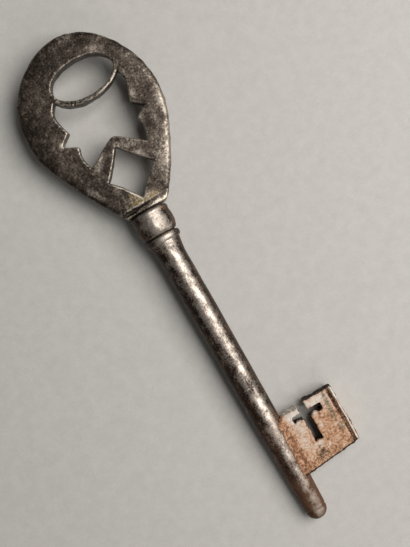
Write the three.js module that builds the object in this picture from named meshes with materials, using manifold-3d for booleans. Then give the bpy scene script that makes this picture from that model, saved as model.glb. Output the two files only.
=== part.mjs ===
// A forged iron chest key with a pierced bow, lying flat: +X is the bit side, +Y the bow end, +Z up.
// All sizes are millimetres. Inside the group Y = 0 is the plane in which the bow sits on its collar,
// and the Y axis is the key's own axis; at the end the group is moved so that the key lies on Z = 0.
import * as THREE from 'three';
import { mergeVertices } from 'three/addons/utils/BufferGeometryUtils.js';
import Module from 'manifold-3d';

const wasm = await Module();
wasm.setup();

// Facets of turned pieces and of curved outlines
const turnedSides = 48;
const edgeSteps = 3;
const domeSteps = 6;
const flareSteps = 6;
const barrelSteps = 10;
const coveSides = 20;
const foldSides = 12;
const ovalSteps = 48;
const outlineSteps = 96;
const curveSteps = 5;

// Fit of one piece in another, filled with spelter on the real key
const fit = 0.15;
const seamThickness = 0.45;

// Bow: a flat forged plate, with its heights given from the collar upwards
const bowThickness = 4.4;
const bowWidth = 41.9;
const bowLean = 0.42;
const bowEdgeRound = 1.2;
const footWidth = 12.4;
const lipHeight = 1.15;
const coveHeight = 1.3;
const sillHeight = 1.65;
const diamondHeight = 16.6;
const diamondShift = 1.1;
const diamondRightReach = 8.1;
const diamondLeftReach = 6.7;
const diamondCornerDrop = 0.45;
const diamondSag = 0.3;
const roofBar = 2.75;
const starHeight = 12.25;
const crescentBar = 1.4;
const ovalHeight = 11.0;
const ovalWidth = 19.65;
const ovalShift = 2.75;
const topRim = 8.4;
const openingEdgeRound = 0.35;

// Star opening: widths across its points, with rises above the peak of the roof bar
const starShift = 1.35;
const starTilt = -2.1;
const starLowerShift = 0.3;
const upperLobeWidth = 23.3;
const upperLobeRise = 12.6;
const upperToothGap = 19.85;
const upperToothRise = 6.9;
const notchWidth = 26.5;
const notchRise = 4.1;
const lowerToothGap = 18.95;
const lowerToothRise = 1.85;
const lowerLobeWidth = 20.0;
const lowerLobeRise = -1.6;
const starFootWidth = 17.9;
const starFootRise = -5.4;
const peakShift = 0.85;
const peakRise = 0.7;
const peakRound = 0.14;
const crescentTilt = 4;
const crescentFrom = 194;
const crescentTo = 330;

// Tang of the bow, let into the head of the shank
const tangWidth = 4.6;
const tangThickness = 2.2;
const tangLength = 6;

// Collar between the bow and the shank
const bulbHeight = 7.35;
const bulbRadius = 6;
const bulbEndRadius = 5;
const seamRadius = 4.6;
const ringHeight = 1.8;
const ringRadius = 5.5;
const ringEndRadius = 5.1;

// Shank: a solid pin that tapers to a domed tip
const spigotRadius = 3.2;
const flareRadius = 4.95;
const flareLength = 5.8;
const flareHollow = 1.6;
const neckRadius = 4.22;
const bodyRadius = 4.0;
const endRadius = 3.2;
const tipRadius = 3.15;
const tipGroove = 0.35;
const tipStep = 0.8;
const tipLength = 3.75;
const bitDistance = 60.45;
const tailLength = 9.4;

// Bit: a plate with one long ward slot and two cross arms
const bitThickness = 5.5;
const bitReach = 21.2;
const bitEdgeLength = 17.6;
const bitRootLength = 19.0;
const innerToothDrop = 0.75;
const bitEdgeRound = 0.3;
const slotStart = 9.65;
const slotWidth = 2.5;
const slotDepth = 12.15;
const armDrop = 2.6;
const armHeight = 2.1;
const innerArm = 2.9;
const outerArm = 4.0;
const foldWidth = 0.9;
const ridgeWidth = 0.85;
const ridgeRise = 0.5;

// Tongue of the bit in its mortise, and the fillets of spelter along its root
const tongueThickness = 2.2;
const mortiseFloor = 1.2;
const tongueShoulder = 1;
const filletReach = 1.3;
const filletRise = 0.9;

// Levels along the axis, upwards from the collar
const coveMiddle = lipHeight + coveHeight / 2;
const diamondFoot = lipHeight + coveHeight + sillHeight;
const starApex = diamondFoot + diamondHeight + roofBar;
const starRoof = starApex + starHeight;
const ovalFoot = starRoof + crescentBar;
const bowHeight = ovalFoot + ovalHeight + topRim;

// Levels along the axis, downwards from the bow's seat
const bulbTop = -seamThickness;
const bulbBottom = bulbTop - bulbHeight;
const ringTop = bulbBottom - seamThickness;
const ringBottom = ringTop - ringHeight;
const bitTop = ringBottom - bitDistance;
const innerTop = bitTop - innerToothDrop;
const bitFoot = innerTop - bitRootLength;
const shankEnd = bitFoot - tailLength;
const tipEnd = shankEnd - tipLength;

const ironColour = 0x4d433d;
const shankColour = 0x41362f;
const bitColour = 0xa07c62;
const spelterColour = 0x9a8350;

function solidOf(geometry) {
  const bare = geometry.clone();
  bare.deleteAttribute('normal');
  bare.deleteAttribute('uv');
  const merged = mergeVertices(bare, 1e-5);
  const vertProperties = new Float32Array(merged.attributes.position.array);
  const triVerts = new Uint32Array(merged.index.array);
  return new wasm.Manifold(new wasm.Mesh({ numProp: 3, vertProperties, triVerts }));
}

function geometryOf(solid) {
  const mesh = solid.getMesh();
  const geometry = new THREE.BufferGeometry();
  geometry.setAttribute('position', new THREE.BufferAttribute(new Float32Array(mesh.vertProperties), 3));
  geometry.setIndex(new THREE.BufferAttribute(new Uint32Array(mesh.triVerts), 1));
  geometry.computeVertexNormals();
  return geometry;
}

function iron(colour, roughness) {
  return new THREE.MeshStandardMaterial({ color: colour, metalness: 0.7, roughness });
}

// A plate of this outline, centred on Z = 0, with its edge rounded inwards from the outline.
function plate(points, thickness, round) {
  const geometry = new THREE.ExtrudeGeometry(new THREE.Shape(points), {
    depth: thickness - 2 * round,
    steps: 1,
    bevelEnabled: true,
    bevelThickness: round,
    bevelSize: round,
    bevelOffset: -round,
    bevelSegments: edgeSteps,
  });
  geometry.translate(0, 0, round - thickness / 2);
  return geometry;
}

// A cutter for an opening through a plate: it flares where it leaves each face, which rounds the rim.
function openingCutter(points, thickness, round) {
  const overshoot = 0.02;
  const geometry = new THREE.ExtrudeGeometry(new THREE.Shape(points), {
    depth: thickness + 2 * overshoot - 2 * round,
    steps: 1,
    bevelEnabled: true,
    bevelThickness: round,
    bevelSize: -round,
    bevelOffset: round,
    bevelSegments: edgeSteps,
  });
  geometry.translate(0, 0, round - overshoot - thickness / 2);
  return geometry;
}

function block(x0, x1, y0, y1, z0, z1) {
  const geometry = new THREE.BoxGeometry(x1 - x0, y1 - y0, z1 - z0);
  geometry.translate((x0 + x1) / 2, (y0 + y1) / 2, (z0 + z1) / 2);
  return geometry;
}

// Turned about the key's axis; each profile point is [radius, level].
function turned(profile) {
  const points = profile.map(([radius, level]) => new THREE.Vector2(radius, level));
  return new THREE.LatheGeometry(points, turnedSides);
}

// A round rod along Y between two levels.
function rodAlongY(radius, x, z, y0, y1, sides) {
  const geometry = new THREE.CylinderGeometry(radius, radius, y1 - y0, sides);
  geometry.translate(x, (y0 + y1) / 2, z);
  return geometry;
}

// Bow: the outline as [share of the half width, share of the height], from the right of the foot round.
const outlineShares = [
  [0.370, 0.035],
  [0.640, 0.179],
  [0.812, 0.307],
  [0.930, 0.410],
  [0.992, 0.527],
  [0.978, 0.630],
  [0.909, 0.733],
  [0.785, 0.825],
  [0.605, 0.907],
  [0.370, 0.970],
  [0.093, 1.000],
  [-0.240, 0.984],
  [-0.500, 0.935],
  [-0.700, 0.874],
  [-0.855, 0.800],
  [-0.951, 0.718],
  [-0.997, 0.615],
  [-0.980, 0.513],
  [-0.903, 0.412],
  [-0.790, 0.320],
  [-0.655, 0.217],
  [-0.510, 0.125],
  [-0.368, 0.040],
];

function bowOutline() {
  const around = outlineShares.map(([across, up]) => {
    return new THREE.Vector3(bowLean + (across * bowWidth) / 2, up * bowHeight, 0);
  });
  const round = new THREE.CatmullRomCurve3(around, false, 'centripetal').getPoints(outlineSteps);
  return [
    new THREE.Vector2(bowLean - footWidth / 2, 0),
    new THREE.Vector2(bowLean + footWidth / 2, 0),
    ...round.map((point) => new THREE.Vector2(point.x, point.y)),
  ];
}

function ovalOutline() {
  const middle = ovalFoot + ovalHeight / 2;
  const ring = new THREE.EllipseCurve(ovalShift, middle, ovalWidth / 2, ovalHeight / 2);
  return ring.getPoints(ovalSteps).slice(0, -1);
}

// Four points whose sides bend in a little towards the middle.
function diamondOutline() {
  const halfHeight = diamondHeight / 2;
  const middle = diamondFoot + halfHeight;
  const corners = [
    [0, halfHeight],
    [diamondRightReach, -diamondCornerDrop],
    [0, -halfHeight],
    [-diamondLeftReach, 0],
  ];
  const bend = 1 - (4 * diamondSag) / Math.hypot(diamondRightReach, halfHeight);
  const path = new THREE.Path();
  path.moveTo(diamondShift, middle + halfHeight);
  corners.forEach(([x, y], index) => {
    const [nextX, nextY] = corners[(index + 1) % corners.length];
    const pullX = ((x + nextX) / 2) * bend;
    const pullY = ((y + nextY) / 2) * bend;
    path.quadraticCurveTo(diamondShift + pullX, middle + pullY, diamondShift + nextX, middle + nextY);
  });
  return path.getPoints(curveSteps).slice(0, -1);
}

// The star hangs from the underside of the crescent bar and stands on the roof bar over the diamond.
function starOutline() {
  const tilt = THREE.MathUtils.degToRad(starTilt);
  const hub = new THREE.Vector2(starShift, starApex + starHeight / 2);
  const place = (x, rise) => {
    return new THREE.Vector2(starShift + x, starApex + rise).rotateAround(hub, tilt);
  };
  const sidePoint = (side, width, rise) => place((side * width) / 2, rise);
  const lowerPoint = (side, width, rise) => place(starLowerShift + (side * width) / 2, rise);
  const middle = ovalFoot + ovalHeight / 2;
  const from = THREE.MathUtils.degToRad(crescentFrom);
  const to = THREE.MathUtils.degToRad(crescentTo);
  const path = new THREE.Path();
  path.absellipse(
    ovalShift,
    middle,
    ovalWidth / 2 + crescentBar,
    ovalHeight / 2 + crescentBar,
    from,
    to,
    false,
    THREE.MathUtils.degToRad(crescentTilt),
  );
  const start = path.curves[0].getPoint(0);
  path.splineThru([
    sidePoint(1, upperLobeWidth, upperLobeRise),
    sidePoint(1, upperToothGap, upperToothRise),
  ]);
  path.lineTo(...sidePoint(1, notchWidth, notchRise).toArray());
  path.lineTo(...lowerPoint(1, lowerToothGap, lowerToothRise).toArray());
  path.splineThru([
    lowerPoint(1, lowerLobeWidth, lowerLobeRise),
    lowerPoint(1, starFootWidth, starFootRise),
  ]);
  const peak = place(peakShift, peakRise);
  const leftFoot = lowerPoint(-1, starFootWidth, starFootRise);
  path.lineTo(...peak.clone().lerp(path.currentPoint, peakRound).toArray());
  path.quadraticCurveTo(...peak.toArray(), ...peak.clone().lerp(leftFoot, peakRound).toArray());
  path.lineTo(...leftFoot.toArray());
  path.splineThru([
    lowerPoint(-1, lowerLobeWidth, lowerLobeRise),
    lowerPoint(-1, lowerToothGap, lowerToothRise),
  ]);
  path.lineTo(...sidePoint(-1, notchWidth, notchRise).toArray());
  path.lineTo(...sidePoint(-1, upperToothGap, upperToothRise).toArray());
  path.splineThru([sidePoint(-1, upperLobeWidth, upperLobeRise), start]);
  return path.getPoints(curveSteps).slice(0, -1);
}

function makeBow() {
  let bow = solidOf(plate(bowOutline(), bowThickness, bowEdgeRound));
  for (const outline of [ovalOutline(), starOutline(), diamondOutline()]) {
    bow = bow.subtract(solidOf(openingCutter(outline, bowThickness, openingEdgeRound)));
  }
  for (const face of [1, -1]) {
    const cove = new THREE.CylinderGeometry(coveHeight / 2, coveHeight / 2, bowWidth, coveSides);
    cove.rotateZ(Math.PI / 2);
    cove.translate(bowLean, coveMiddle, (face * bowThickness) / 2);
    bow = bow.subtract(solidOf(cove));
  }
  const tang = block(
    -tangWidth / 2,
    tangWidth / 2,
    -tangLength,
    lipHeight,
    -tangThickness / 2,
    tangThickness / 2,
  );
  return geometryOf(bow.add(solidOf(tang)));
}

// The pocket in which the tang stands, open upwards.
function tangPocket() {
  return block(
    -tangWidth / 2 - fit,
    tangWidth / 2 + fit,
    -tangLength - fit,
    lipHeight,
    -tangThickness / 2 - fit,
    tangThickness / 2 + fit,
  );
}

// Collar pieces swell as an ellipse between two end faces, round the spigot of the shank.
function makeCollar(bottom, top, endRadius, middleRadius) {
  const bore = spigotRadius + fit;
  const profile = [[bore, bottom]];
  for (let step = 0; step <= barrelSteps; step += 1) {
    const share = step / barrelSteps;
    const swell = Math.sqrt(1 - (2 * share - 1) ** 2);
    profile.push([endRadius + (middleRadius - endRadius) * swell, bottom + (top - bottom) * share]);
  }
  profile.push([bore, top], [bore, bottom]);
  return turned(profile);
}

function makeBowBraze() {
  const washer = turned([[0, bulbTop], [seamRadius, bulbTop], [seamRadius, 0], [0, 0]]);
  return geometryOf(solidOf(washer).subtract(solidOf(tangPocket())));
}

function makeCollarBraze() {
  const bore = spigotRadius + fit;
  return turned([
    [bore, ringTop],
    [seamRadius, ringTop],
    [seamRadius, bulbBottom],
    [bore, bulbBottom],
    [bore, ringTop],
  ]);
}

// Radius of the shank at a level below its flare.
function shankRadius(level) {
  const flareFoot = ringBottom - flareLength;
  if (level > bitTop) {
    return THREE.MathUtils.mapLinear(level, flareFoot, bitTop, neckRadius, bodyRadius);
  }
  return THREE.MathUtils.mapLinear(level, bitTop, shankEnd, bodyRadius, endRadius);
}

// Profile of the shank from its domed tip up to the ring, grown by some clearance.
function shankProfile(growth) {
  const profile = [];
  const domeFoot = shankEnd - tipStep;
  const domeHeight = domeFoot - tipEnd;
  for (let step = 0; step <= domeSteps; step += 1) {
    const angle = (step / domeSteps) * (Math.PI / 2);
    const radius = step === 0 ? 0 : tipRadius * Math.sin(angle) + growth;
    profile.push([radius, domeFoot - growth - domeHeight * Math.cos(angle)]);
  }
  profile.push([tipRadius - tipGroove + growth, shankEnd - tipStep / 2]);
  profile.push([endRadius + growth, shankEnd]);
  profile.push([shankRadius(bitTop) + growth, bitTop]);
  const flareFoot = ringBottom - flareLength;
  for (let step = 0; step <= flareSteps; step += 1) {
    const share = step / flareSteps;
    const swell = (flareRadius - neckRadius) * share ** flareHollow;
    profile.push([neckRadius + swell + growth, flareFoot + flareLength * share]);
  }
  return profile;
}

function makeShank() {
  const profile = shankProfile(0);
  profile.push([spigotRadius, ringBottom], [spigotRadius, bulbTop], [0, bulbTop]);
  const mortise = block(
    mortiseFloor,
    bodyRadius + flareRadius,
    bitFoot + tongueShoulder - fit,
    innerTop - tongueShoulder + fit,
    -tongueThickness / 2 - fit,
    tongueThickness / 2 + fit,
  );
  const shank = solidOf(turned(profile)).subtract(solidOf(tangPocket()));
  return geometryOf(shank.subtract(solidOf(mortise)));
}

function bitOutline() {
  const slotEnd = slotStart + slotWidth;
  const slotFoot = bitTop - slotDepth;
  const armTop = bitTop - armDrop;
  const armFoot = armTop - armHeight;
  const corner = bitEdgeRound;
  return [
    [mortiseFloor + fit, bitFoot],
    [mortiseFloor + fit, innerTop],
    [slotStart, innerTop],
    [slotStart, armTop],
    [slotStart - innerArm, armTop],
    [slotStart - innerArm, armFoot],
    [slotStart, armFoot],
    [slotStart, slotFoot],
    [slotEnd, slotFoot],
    [slotEnd, armFoot],
    [slotEnd + outerArm, armFoot],
    [slotEnd + outerArm, armTop],
    [slotEnd, armTop],
    [slotEnd, bitTop],
    [bitReach - corner, bitTop],
    [bitReach, bitTop - corner],
    [bitReach, bitTop - bitEdgeLength],
  ].map(([x, y]) => new THREE.Vector2(x, y));
}

function makeBit() {
  const edgeFoot = bitTop - bitEdgeLength;
  const ridgeStart = bitReach - ridgeWidth;
  const ridge = plate(
    [
      new THREE.Vector2(ridgeStart, edgeFoot),
      new THREE.Vector2(bitReach, edgeFoot),
      new THREE.Vector2(bitReach, bitTop),
      new THREE.Vector2(ridgeStart, bitTop),
    ],
    bitThickness + 2 * ridgeRise,
    bitEdgeRound,
  );
  let bit = solidOf(plate(bitOutline(), bitThickness, bitEdgeRound)).add(solidOf(ridge));
  for (const face of [1, -1]) {
    const fold = rodAlongY(
      foldWidth / 2,
      ridgeStart - foldWidth / 2,
      (face * bitThickness) / 2,
      bitFoot - foldWidth,
      bitTop + foldWidth,
      foldSides,
    );
    bit = bit.subtract(solidOf(fold));
  }
  const seat = shankProfile(fit);
  seat.push([0, ringBottom]);
  bit = bit.subtract(solidOf(turned(seat)));
  const tongue = block(
    mortiseFloor + fit,
    bodyRadius + tongueShoulder,
    bitFoot + tongueShoulder,
    innerTop - tongueShoulder,
    -tongueThickness / 2,
    tongueThickness / 2,
  );
  return geometryOf(bit.add(solidOf(tongue)));
}

// A fillet of spelter in the corner between the flank of the shank and one face of the bit.
function makeFillet(face) {
  const faceLevel = bitThickness / 2;
  const section = (level) => {
    const flank = shankRadius(level) + fit;
    const cornerAngle = Math.asin(faceLevel / flank);
    const crownAngle = cornerAngle + filletRise / flank;
    return [
      [flank * Math.cos(cornerAngle), level, faceLevel],
      [flank * Math.cos(cornerAngle) + filletReach, level, faceLevel],
      [flank * Math.cos(crownAngle), level, flank * Math.sin(crownAngle)],
    ];
  };
  const points = [...section(bitFoot + tongueShoulder), ...section(innerTop - tongueShoulder)];
  const vertices = points.map(([x, y, z]) => [x, y, face * z]).flat();
  const faces = [0, 2, 1, 3, 4, 5, 0, 1, 4, 0, 4, 3, 1, 2, 5, 1, 5, 4, 2, 0, 3, 2, 3, 5];
  const index = face > 0 ? faces.slice().reverse() : faces;
  const geometry = new THREE.BufferGeometry();
  geometry.setAttribute('position', new THREE.Float32BufferAttribute(vertices, 3));
  geometry.setIndex(index);
  geometry.computeVertexNormals();
  return geometry;
}

const key = new THREE.Group();

function addPiece(name, geometry, material) {
  const mesh = new THREE.Mesh(geometry, material);
  mesh.name = name;
  key.add(mesh);
}

const spelter = () => new THREE.MeshStandardMaterial({
  color: spelterColour,
  metalness: 0.8,
  roughness: 0.5,
});

const bulb = makeCollar(bulbBottom, bulbTop, bulbEndRadius, bulbRadius);
const ring = makeCollar(ringBottom, ringTop, ringEndRadius, ringRadius);

addPiece('bow', makeBow(), iron(ironColour, 0.6));
addPiece('bow_braze', makeBowBraze(), spelter());
addPiece('bulb_collar', bulb, iron(ironColour, 0.5));
addPiece('collar_braze', makeCollarBraze(), spelter());
addPiece('ring_collar', ring, iron(shankColour, 0.45));
addPiece('shank', makeShank(), iron(shankColour, 0.45));
addPiece('bit', makeBit(), iron(bitColour, 0.75));
addPiece('bit_braze_front', makeFillet(1), spelter());
addPiece('bit_braze_back', makeFillet(-1), spelter());

const box = new THREE.Box3().setFromObject(key);
const centre = box.getCenter(new THREE.Vector3());
key.position.set(-centre.x, -centre.y, -box.min.z);

export default key;
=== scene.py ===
"""A forged iron chest key with a pierced bow, dressed for the camera.

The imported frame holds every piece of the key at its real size. Each piece here starts as a welded copy of
its node, gets an even skin, and is then rounded, dented, pitted and filed, as a smith and three centuries of
hands leave a key. Shaping is done in key millimetres: the key's own axis is Y, Y = 0 is the plane in which
the bow sits on its collar, +X is the bit side and +Z the front.
"""
import logging
import math
from dataclasses import dataclass, field
from enum import Enum
from functools import cached_property
from typing import Callable

import bmesh
import bpy
import numpy as np
from bpy.types import ID, Material, Node, NodeSocket, NodeTree, Object
from mathutils import Matrix, Vector, noise


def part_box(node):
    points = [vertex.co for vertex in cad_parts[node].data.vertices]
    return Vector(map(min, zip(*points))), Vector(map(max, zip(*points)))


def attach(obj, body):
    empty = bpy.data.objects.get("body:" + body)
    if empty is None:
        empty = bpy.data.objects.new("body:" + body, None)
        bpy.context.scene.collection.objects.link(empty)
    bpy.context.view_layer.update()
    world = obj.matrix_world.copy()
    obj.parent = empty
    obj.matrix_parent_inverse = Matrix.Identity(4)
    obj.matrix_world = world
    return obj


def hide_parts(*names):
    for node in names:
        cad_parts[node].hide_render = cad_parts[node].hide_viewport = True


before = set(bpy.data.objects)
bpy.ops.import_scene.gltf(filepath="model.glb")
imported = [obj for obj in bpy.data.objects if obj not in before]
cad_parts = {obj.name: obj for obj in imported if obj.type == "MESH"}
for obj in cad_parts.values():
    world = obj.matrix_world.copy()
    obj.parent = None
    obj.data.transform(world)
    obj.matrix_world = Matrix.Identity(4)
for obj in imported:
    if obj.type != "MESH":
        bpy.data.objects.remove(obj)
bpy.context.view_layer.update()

log = logging.getLogger("chest_key")

BODY = "root"
MM = 0.001
WELD_MM = 1e-4
PHOTO_HEIGHT = 547

# A Mix node names its sockets alike for every kind of value, so those for colours are taken by number.
MIX_FACTOR, MIX_A, MIX_B, MIX_RESULT = 0, 6, 7, 2

Pair = tuple[float, float]
Triple = tuple[float, float, float]

# Fields over a skin: a value, or a shift, for each of its points in key millimetres.
Depth = Callable[[Vector], float]
Shift = Callable[[Vector], Vector]


class Slot(Enum):
    """The record's material slots that the pieces take their finish from."""

    FORGED = "wrought_iron"
    POLISHED = "polished_iron"
    RUSTED = "rusted_iron"
    SPELTER = "spelter"


class Trait(Enum):
    """What the points of a piece store for its material, each from 0 to 1."""

    PROUD = "proud"
    SUNK = "sunk"
    # Worn also carries painted light and shade.
    WORN_AND_PAINTED_LIGHT = "worn"
    BRASS = "brass"
    RUST = "rust"
    # Pale also carries painted highlights.
    PALE_AND_PAINTED_HIGHLIGHT = "pale"
    # Stain also carries painted shade.
    STAIN_AND_PAINTED_SHADE = "stain_and_painted_shade"


def linear(hex_colour: str) -> tuple[float, float, float, float]:
    """Turns an sRGB colour into the linear values that shaders take.

    Args:
        hex_colour: Six hex digits after a hash, such as "#8a7a6c".

    Returns:
        Linear red, green and blue, and an alpha of 1.
    """
    channels = [int(hex_colour[i : i + 2], 16) / 255 for i in (1, 3, 5)]
    bright = [c / 12.92 if c <= 0.04045 else ((c + 0.055) / 1.055) ** 2.4 for c in channels]
    return (*bright, 1.0)


def per_metre(size_mm: float) -> float:
    """Returns the texture scale at which one feature of a pattern is this many millimetres."""
    return 1 / (size_mm * MM)


def add_node(
    tree: NodeTree,
    kind: str,
    inputs: dict[str | int, object] | None = None,
    stops: tuple[tuple[float, str], ...] = (),
    **settings: object,
) -> Node:
    """Adds one node with its settings, values and links.

    Args:
        tree: The material's or world's node tree.
        kind: The node's type name.
        inputs: Values or output sockets, by input name or number.
        stops: For a colour ramp, places from 0 to 1 with their sRGB colours.
        **settings: Properties of the node itself.

    Returns:
        The new node.
    """
    made = tree.nodes.new(kind)
    for name, value in settings.items():
        setattr(made, name, value)
    for name, value in (inputs or {}).items():
        if isinstance(value, NodeSocket):
            tree.links.new(value, made.inputs[name])
        else:
            made.inputs[name].default_value = value
    for number, (place, colour) in enumerate(stops):
        elements = made.color_ramp.elements
        element = elements[number] if number < len(elements) else elements.new(place)
        element.position = place
        element.color = linear(colour)
    return made


def add_object(name: str, data: ID) -> Object:
    """Adds an object to the scene.

    Args:
        name: Its name.
        data: Its mesh, lamp or camera.

    Returns:
        The object.
    """
    made = bpy.data.objects.new(name, data)
    bpy.context.scene.collection.objects.link(made)
    return made


@dataclass(frozen=True)
class Grain:
    """One natural pattern of a surface.

    Args:
        size_mm: Size of its features.
        detail: How many finer octaves it carries.
        roughness: How strong these are.
        scale: Factors on its frequency along each axis; below 1 it is drawn out.
    """

    size_mm: float
    detail: float = 4.0
    roughness: float = 0.6
    scale: Triple = (1.0, 1.0, 1.0)


@dataclass(frozen=True)
class Blend:
    """A weighted sum of grains, traits and earlier blends, clamped from 0 to 1.

    Args:
        offset: What the sum starts from.
        weights: The weight of each by its name.
    """

    offset: float
    weights: dict[str, float] = field(default_factory=dict)


@dataclass(frozen=True)
class WornSurface:
    """A finish: a coat whose colour changes with its tone, and the layers that lie on it.

    Args:
        name: What the finish is called.
        coat: Stops of the coat's colours.
        layers: Colours over the coat, by the blend that lays each on: tint, rub for bared metal, or dirt.
        grains: Its patterns by name. The specks are also fine relief.
        blends: Its blends by name, in order: tone, one for each layer, metallic and roughness.
        relief_mm: Depth of that relief.
        gloss: The shader's specular level, for what isn't bare metal.
    """

    name: str
    coat: tuple[tuple[float, str], ...]
    layers: dict[str, str]
    grains: dict[str, Grain]
    blends: dict[str, Blend]
    relief_mm: float = 0.05
    gloss: float = 0.5

    def build(self) -> Material:
        """Builds the material: its patterns, its blends, and then its colours.

        Returns:
            The material.
        """
        material = bpy.data.materials.new(self.name)
        material.use_nodes = True
        tree = material.node_tree
        tree.nodes.clear()
        place = add_node(tree, "ShaderNodeTexCoord").outputs["Object"]
        values: dict[str, NodeSocket | float] = {}
        for name, grain in self.grains.items():
            drawn = add_node(tree, "ShaderNodeMapping", {"Vector": place, "Scale": grain.scale})
            noise_inputs = {
                "Vector": drawn.outputs["Vector"],
                "Scale": per_metre(grain.size_mm),
                "Detail": grain.detail,
                "Roughness": grain.roughness,
            }
            values[name] = add_node(tree, "ShaderNodeTexNoise", noise_inputs).outputs["Fac"]
        used = {source for blend in self.blends.values() for source in blend.weights}
        for trait in Trait:
            if trait.value in used:
                stored = add_node(tree, "ShaderNodeAttribute", attribute_name=trait.value)
                values[trait.value] = stored.outputs["Fac"]
        for name, blend in self.blends.items():
            total: NodeSocket | float = blend.offset
            for number, (source, weight) in enumerate(blend.weights.items(), start=1):
                last = number == len(blend.weights)
                terms = {0: values[source], 1: weight, 2: total}
                step = add_node(tree, "ShaderNodeMath", terms, operation="MULTIPLY_ADD", use_clamp=last)
                total = step.outputs[0]
            values[name] = total
        ramp = add_node(tree, "ShaderNodeValToRGB", {"Fac": values["tone"]}, self.coat)
        colour = ramp.outputs["Color"]
        for name, over in self.layers.items():
            layer = {MIX_FACTOR: values[name], MIX_A: colour, MIX_B: linear(over)}
            colour = add_node(tree, "ShaderNodeMix", layer, data_type="RGBA").outputs[MIX_RESULT]
        height = {"Height": values["speck"], "Distance": self.relief_mm * MM}
        surface = {
            "Base Color": colour,
            "Metallic": values["metallic"],
            "Roughness": values["roughness"],
            "Specular IOR Level": self.gloss,
            "Normal": add_node(tree, "ShaderNodeBump", height).outputs["Normal"],
        }
        shader = add_node(tree, "ShaderNodeBsdfPrincipled", surface)
        add_node(tree, "ShaderNodeOutputMaterial", {"Surface": shader.outputs[0]})
        return material


# Real specks are a tenth of a millimetre or less, which is too fine to show in the render, so those of each
# finish are drawn as coarse as they need to be.

# Wrought iron, forged flat and filed, under a brown-black patina. Its slag grain lets the patina wear through
# in fine specks, so that it looks dusty and never evenly grey. Its rims are rubbed bright, and bare at edges.
FORGED_IRON = WornSurface(
    name="wrought_iron_brown_patina",
    coat=((0.18, "#2a221b"), (0.50, "#52473d"), (0.82, "#7e7368")),
    layers={"tint": "#8a7648", "rub": "#b8ac9c", "dirt": "#14110e"},
    grains={
        "speck": Grain(0.58, detail=5.0, roughness=0.78),
        "patch": Grain(2.0),
        "cloud": Grain(8.0, detail=3.0),
    },
    blends={
        # The worn and pale weights also lay on painted light: the side towards the lamp and the lip and right
        # rim.
        "tone": Blend(-1.53, {"cloud": 0.8, "patch": 0.9, "speck": 2.0, "worn": 0.42}),
        "tint": Blend(-1.85, {"speck": 2.0, "cloud": 0.8, "brass": 1.0}),
        "rub": Blend(-3.55, {"speck": 4.2, "patch": 1.3, "worn": 0.9, "proud": 1.8, "pale": 0.8}),
        "dirt": Blend(-0.75, {"sunk": 1.6, "patch": 0.5}),
        "metallic": Blend(0.60, {"rub": 0.30}),
        "roughness": Blend(0.28, {"speck": 0.24, "pale": -0.05}),
    },
    relief_mm=0.09,
    gloss=0.35,
)

# Iron polished by the hand that holds it: dark brown and glossy, with black patina in its pores. It is filed
# round and rubbed along its length, so its patches are drawn out along it. Rust from the bit dulls it below,
# and on the collar it is more satin.
POLISHED_IRON = WornSurface(
    name="polished_iron_brown",
    coat=((0.20, "#1d1510"), (0.50, "#3f332b"), (0.85, "#68594f")),
    layers={"tint": "#7a543c", "rub": "#c9bcae", "dirt": "#140f0c"},
    grains={
        "speck": Grain(0.45, roughness=0.68),
        "patch": Grain(1.5, detail=5.0, scale=(1.0, 0.55, 1.0)),
        "cloud": Grain(7.0, detail=2.0, scale=(1.0, 0.5, 1.0)),
    },
    blends={
        "tone": Blend(-1.05, {"cloud": 0.6, "patch": 0.8, "speck": 1.4}),
        "tint": Blend(-1.05, {"speck": 1.6, "patch": 0.6, "rust": 0.8}),
        # The worn and pale weights lay on painted light: brighter towards the lamp, dark on the sides and far
        # side.
        "rub": Blend(-1.95, {"speck": 1.7, "patch": 1.4, "worn": 1.0, "proud": 0.5, "pale": 0.16}),
        "dirt": Blend(-1.75, {"speck": 2.2, "sunk": 0.5, "patch": 0.3, "rust": 0.70}),
        "metallic": Blend(0.40, {"rub": 0.60, "rust": -0.20}),
        "roughness": Blend(0.32, {"rub": -0.08, "speck": 0.16, "rust": 0.30, "pale": 0.16}),
    },
    relief_mm=0.06,
    gloss=0.30,
)

# Iron under thin orange-brown rust. Rust scatters light, so it is matt and grainy; where it has been rubbed
# off, pale filed metal shows, and oil and dirt have gone dark in its hollows.
RUSTED_IRON = WornSurface(
    name="rusted_iron_orange",
    coat=((0.05, "#dcd0c2"), (0.32, "#d2b49c"), (0.60, "#c99670"), (0.95, "#7e563d")),
    layers={"tint": "#81775f", "rub": "#ece2d4", "dirt": "#33251b"},
    grains={
        "speck": Grain(0.65, detail=5.0, roughness=0.78),
        "patch": Grain(1.6),
        "cloud": Grain(5.0, detail=3.0),
    },
    blends={
        "tone": Blend(-1.80, {"speck": 2.7, "patch": 0.7, "cloud": 0.6, "rust": 0.7, "pale": -0.42}),
        "tint": Blend(-2.15, {"speck": 3.2, "patch": 0.7, "brass": 1.1}),
        # Pale also lays a painted highlight on the crest and burrs; the stain weight also lays painted shade.
        "rub": Blend(-2.35, {"speck": 2.8, "patch": 0.4, "proud": 1.0, "pale": 0.9}),
        "dirt": Blend(-2.75, {"speck": 4.4, "patch": 0.6, "sunk": 0.9, "stain_and_painted_shade": 1.5, "pale": -0.7}),
        "metallic": Blend(0.10),
        "roughness": Blend(0.42, {"tone": 0.35, "speck": 0.15, "stain_and_painted_shade": 0.15}),
    },
    relief_mm=0.22,
    gloss=0.35,
)

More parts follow.
